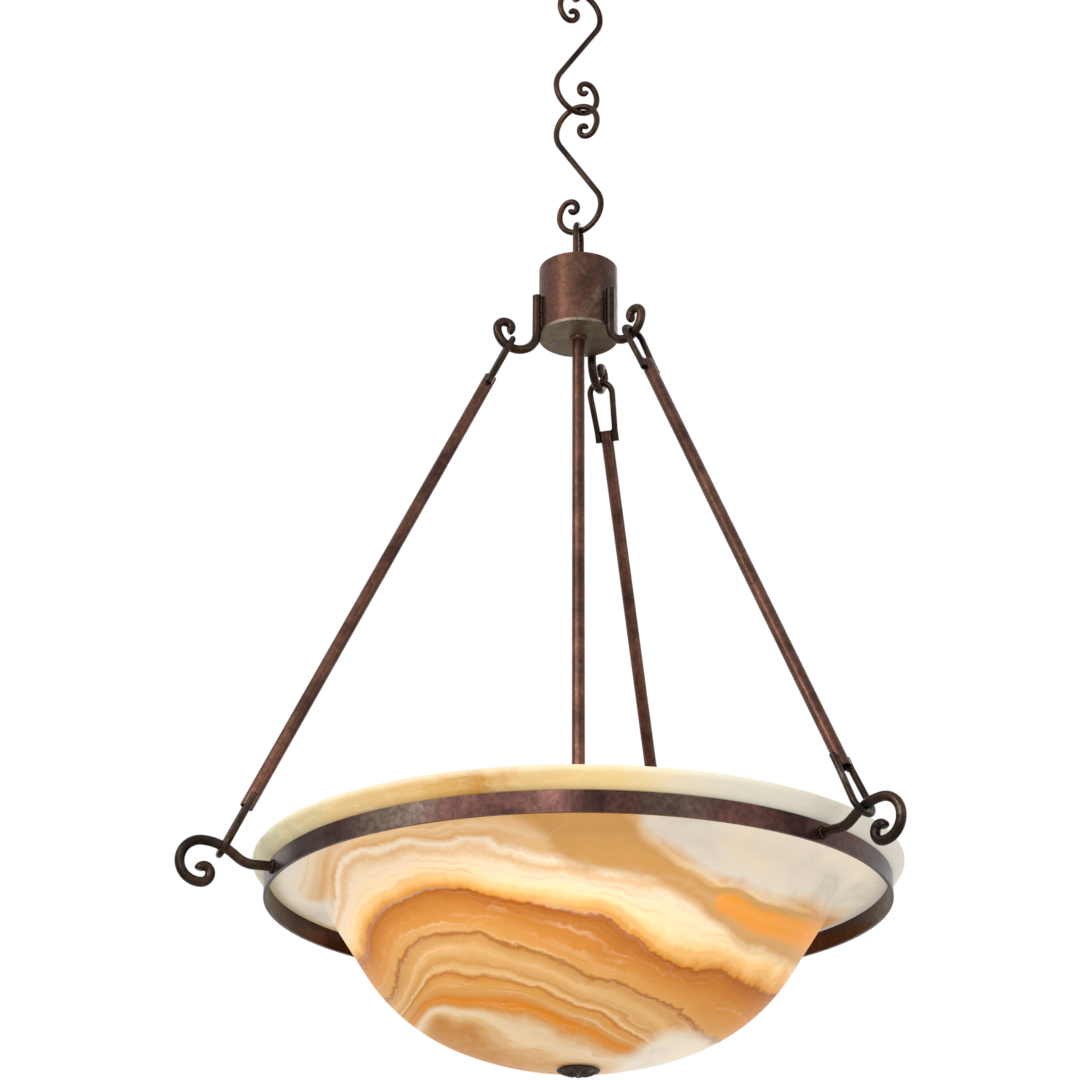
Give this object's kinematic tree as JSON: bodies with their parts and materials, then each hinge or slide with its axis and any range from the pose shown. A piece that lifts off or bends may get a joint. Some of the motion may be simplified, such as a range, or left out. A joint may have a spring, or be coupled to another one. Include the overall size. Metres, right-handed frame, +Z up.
{
  "type": "bowl_pendant",
  "caption": "Alabaster bowl pendant in a bronzed iron ring, hung by three eyed rods from a drum hub on a chain of S-hook links",
  "frame": {"origin": "middle of the crossbar's ceiling face, midway between its two screw slots", "axes": "+Z up, out of the ceiling face; -Y to the front of the picture; +X to its right, along the screw slots"},
  "size_m": [0.8291, 0.8344, 1.574],
  "materials": {
    "bronze_iron": "oil-rubbed bronze, satin",
    "alabaster": "polished translucent stone",
    "plated_steel": "zinc plated",
    "porcelain": "glazed",
    "brass": "nickelled brass",
    "frosted_glass": "frosted",
    "wire_insulation": "matt",
    "connector_plastic": "matt"
  },
  "bodies": {
    "ceiling_mount": {"ceiling_crossbar": "plated_steel", "threaded_nipple": "plated_steel", "nipple_lock_nut": "plated_steel", "canopy_loop": "bronze_iron"},
    "canopy": {"ceiling_canopy": "bronze_iron", "canopy_collar": "bronze_iron"},
    "upper_link": {"upper_link": "bronze_iron"},
    "lower_link": {"lower_link": "bronze_iron"},
    "fixture": {"back_arm": "bronze_iron", "back_hub_hook": "bronze_iron", "cluster_cover": "bronze_iron", "hub_bottom_plate": "bronze_iron", "hub_cord_bushing": "bronze_iron", "hub_loop": "bronze_iron", "hub_shell": "bronze_iron", "hub_top_plate": "bronze_iron", "lamp_cluster_body": "bronze_iron", "lamp_socket_1": "porcelain", "lamp_socket_2": "porcelain", "lamp_socket_3": "porcelain", "left_arm": "bronze_iron", "left_hub_hook": "bronze_iron", "right_arm": "bronze_iron", "right_hub_hook": "bronze_iron", "ring_band": "bronze_iron", "socket_arm_1": "bronze_iron", "socket_arm_2": "bronze_iron", "socket_arm_3": "bronze_iron", "stem_tube": "bronze_iron", "stem_weld": "bronze_iron", "stem_wires": "wire_insulation", "tie_rod": "plated_steel", "tie_rod_nut": "plated_steel", "wire_connectors": "connector_plastic"},
    "left_hanger": {"left_hanger_tube": "bronze_iron", "left_top_eye": "bronze_iron", "left_bottom_eye": "bronze_iron"},
    "right_hanger": {"right_hanger_tube": "bronze_iron", "right_top_eye": "bronze_iron", "right_bottom_eye": "bronze_iron"},
    "back_hanger": {"back_hanger_tube": "bronze_iron", "back_top_eye": "bronze_iron", "back_bottom_eye": "bronze_iron"},
    "bowl": {"alabaster_bowl": "alabaster"},
    "finial": {"finial": "bronze_iron", "finial_washer": "bronze_iron"},
    "bulb_1": {"bulb_base_1": "brass", "bulb_glass_1": "frosted_glass"},
    "bulb_2": {"bulb_base_2": "brass", "bulb_glass_2": "frosted_glass"},
    "bulb_3": {"bulb_base_3": "brass", "bulb_glass_3": "frosted_glass"}
  },
  "joints": [
    {"name": "canopy_drop", "type": "slide", "parent": "ceiling_mount", "child": "canopy", "axis": [0, 0, -1], "range_m": [0, 0.018]},
    {"name": "upper_link_swing", "type": "hinge", "parent": "ceiling_mount", "child": "upper_link", "pos_m": [0, 0, -0.093], "axis": [-0.4226, 0.9063, 0], "range_deg": [-15, 15]},
    {"name": "lower_link_swing", "type": "hinge", "parent": "upper_link", "child": "lower_link", "pos_m": [0, 0, -0.27796], "axis": [0.9063, 0.4226, 0], "range_deg": [-15, 15]},
    {"name": "fixture_swing", "type": "hinge", "parent": "lower_link", "child": "fixture", "pos_m": [0, 0, -0.46293], "axis": [0.9063, -0.4226, 0], "range_deg": [-15, 15]},
    {"name": "left_hanger_twist", "type": "hinge", "parent": "fixture", "child": "left_hanger", "pos_m": [-0.11083, -0.04034, -0.6985], "axis": [0.4014, 0.1461, 0.9042], "range_deg": [-20, 20]},
    {"name": "right_hanger_twist", "type": "hinge", "parent": "fixture", "child": "right_hanger", "pos_m": [0.08484, -0.08193, -0.6985], "axis": [-0.3073, 0.2967, 0.9042], "range_deg": [-20, 20]},
    {"name": "back_hanger_twist", "type": "hinge", "parent": "fixture", "child": "back_hanger", "pos_m": [0.03645, 0.11217, -0.6985], "axis": [-0.132, -0.4063, 0.9042], "range_deg": [-20, 20]},
    {"name": "bowl_lift", "type": "slide", "parent": "fixture", "child": "bowl", "axis": [0, 0, 1], "range_m": [0, 0.02]},
    {"name": "finial_unscrew", "type": "slide", "parent": "fixture", "child": "finial", "axis": [0, 0, -1], "range_m": [0, 0.012]},
    {"name": "bulb_1_unscrew", "type": "slide", "parent": "fixture", "child": "bulb_1", "axis": [0.9781, 0.2079, 0], "range_m": [0, 0.025]},
    {"name": "bulb_2_unscrew", "type": "slide", "parent": "fixture", "child": "bulb_2", "axis": [-0.6691, 0.7431, 0], "range_m": [0, 0.025]},
    {"name": "bulb_3_unscrew", "type": "slide", "parent": "fixture", "child": "bulb_3", "axis": [-0.309, -0.9511, 0], "range_m": [0, 0.025]}
  ]
}
